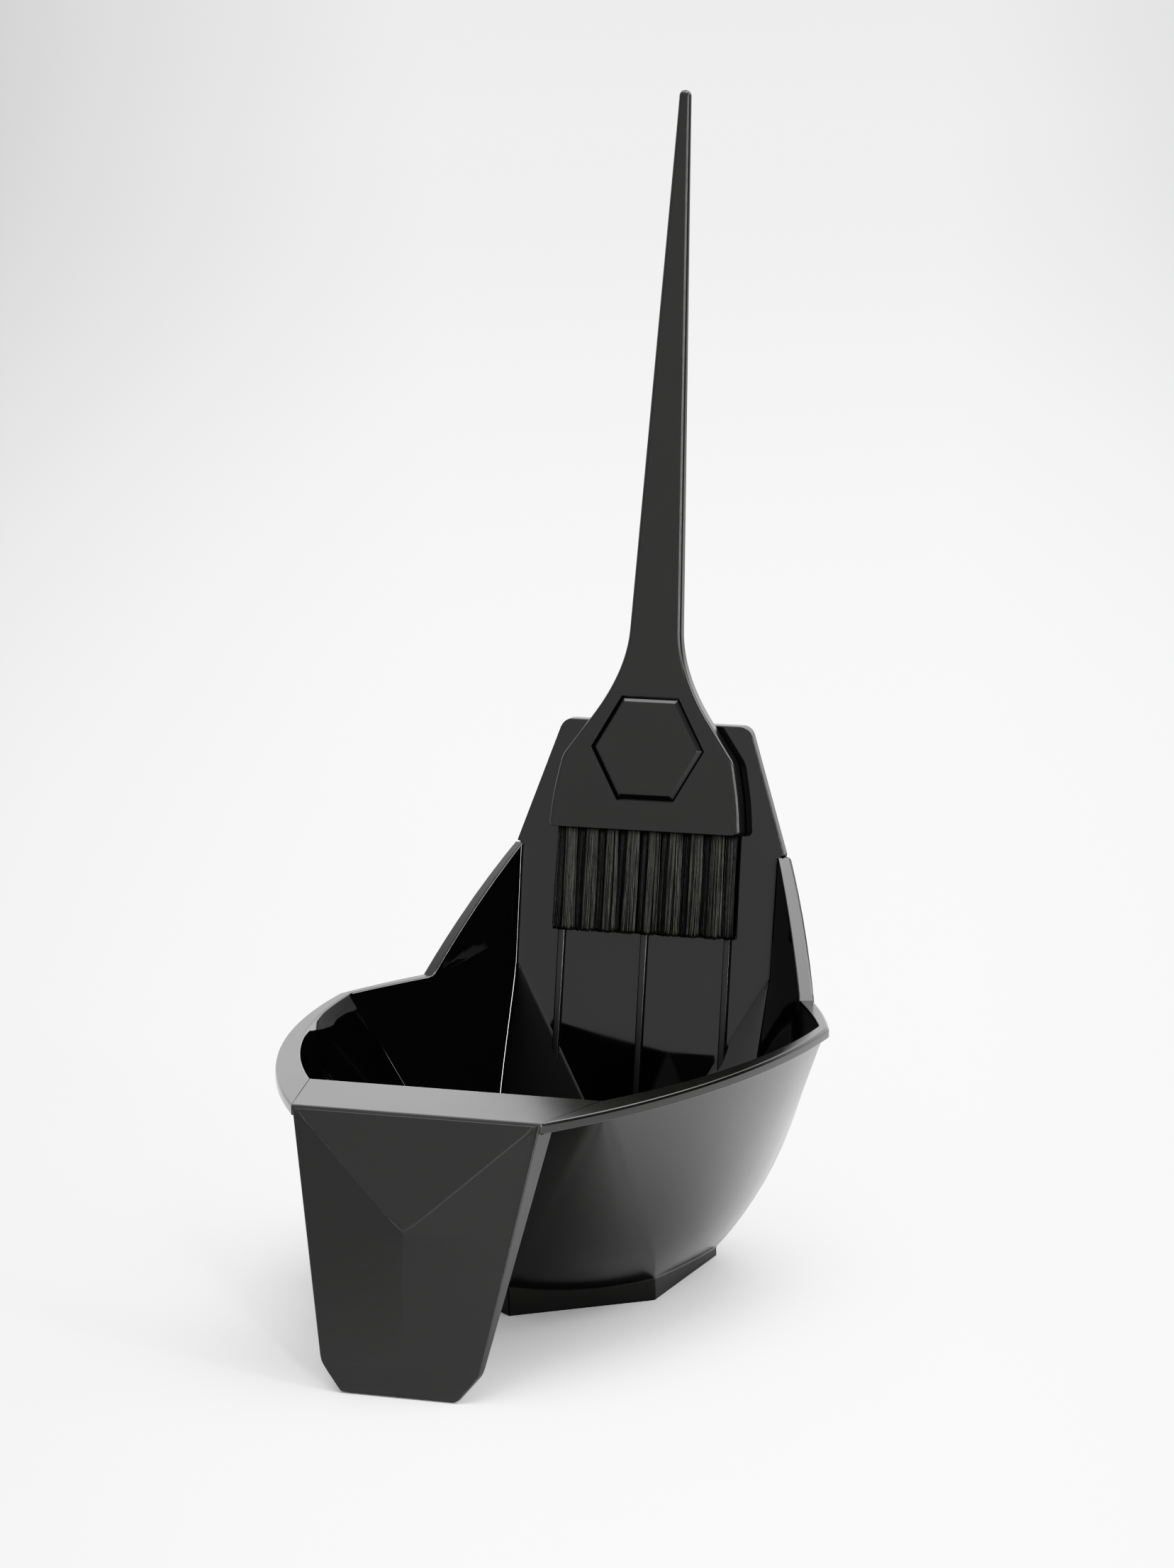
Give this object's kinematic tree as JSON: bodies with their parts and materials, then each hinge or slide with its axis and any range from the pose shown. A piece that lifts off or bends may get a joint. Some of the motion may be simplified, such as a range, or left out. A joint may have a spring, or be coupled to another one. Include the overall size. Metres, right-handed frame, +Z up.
{
  "type": "hair color bowl with docked tint brush",
  "caption": "Boat-shaped tint bowl with a grip tab at the front and a tall rear panel that holds a flat tint brush by magnet, bristles down over the bowl.",
  "frame": {"origin": "bottom middle of the whole object's box, on the surface that the foot ring stands on", "axes": "+X to the bowl's side, the mirror plane is X = 0; -Y towards the grip tab; +Z up, along the brush's handle roughly"},
  "size_m": [0.1334, 0.2124, 0.2887],
  "materials": {
    "gloss_black": "gloss moulded, near black",
    "satin_black": "satin, fine moulded grain",
    "bristle_fibre": "dark olive-grey synthetic fibre",
    "magnet_plating": "nickel-plated",
    "staple_wire": "drawn flat wire"
  },
  "bodies": {
    "bowl": {"bowl_shell": "gloss_black", "panel_magnet": "magnet_plating", "panel_magnet_cover": "gloss_black"},
    "brush": {"brush_handle": "satin_black", "brush_magnet": "magnet_plating", "hex_cap": "satin_black", "bristle_tuft_front_1": "bristle_fibre", "bristle_tuft_front_2": "bristle_fibre", "bristle_tuft_front_3": "bristle_fibre", "bristle_tuft_front_4": "bristle_fibre", "bristle_tuft_front_5": "bristle_fibre", "bristle_tuft_front_6": "bristle_fibre", "bristle_tuft_front_7": "bristle_fibre", "bristle_tuft_front_8": "bristle_fibre", "bristle_tuft_rear_1": "bristle_fibre", "bristle_tuft_rear_2": "bristle_fibre", "bristle_tuft_rear_3": "bristle_fibre", "bristle_tuft_rear_4": "bristle_fibre", "bristle_tuft_rear_5": "bristle_fibre", "bristle_tuft_rear_6": "bristle_fibre", "bristle_tuft_rear_7": "bristle_fibre", "bristle_tuft_rear_8": "bristle_fibre", "bristle_tuft_rear_9": "bristle_fibre", "tuft_staple_front_1": "staple_wire", "tuft_staple_front_2": "staple_wire", "tuft_staple_front_3": "staple_wire", "tuft_staple_front_4": "staple_wire", "tuft_staple_front_5": "staple_wire", "tuft_staple_front_6": "staple_wire", "tuft_staple_front_7": "staple_wire", "tuft_staple_front_8": "staple_wire", "tuft_staple_rear_1": "staple_wire", "tuft_staple_rear_2": "staple_wire", "tuft_staple_rear_3": "staple_wire", "tuft_staple_rear_4": "staple_wire", "tuft_staple_rear_5": "staple_wire", "tuft_staple_rear_6": "staple_wire", "tuft_staple_rear_7": "staple_wire", "tuft_staple_rear_8": "staple_wire", "tuft_staple_rear_9": "staple_wire"}
  },
  "joints": [
    {"name": "brush_lift", "type": "slide", "parent": "bowl", "child": "brush", "axis": [0, -0.9766, 0.2149], "range_m": [0, 0.08]}
  ]
}
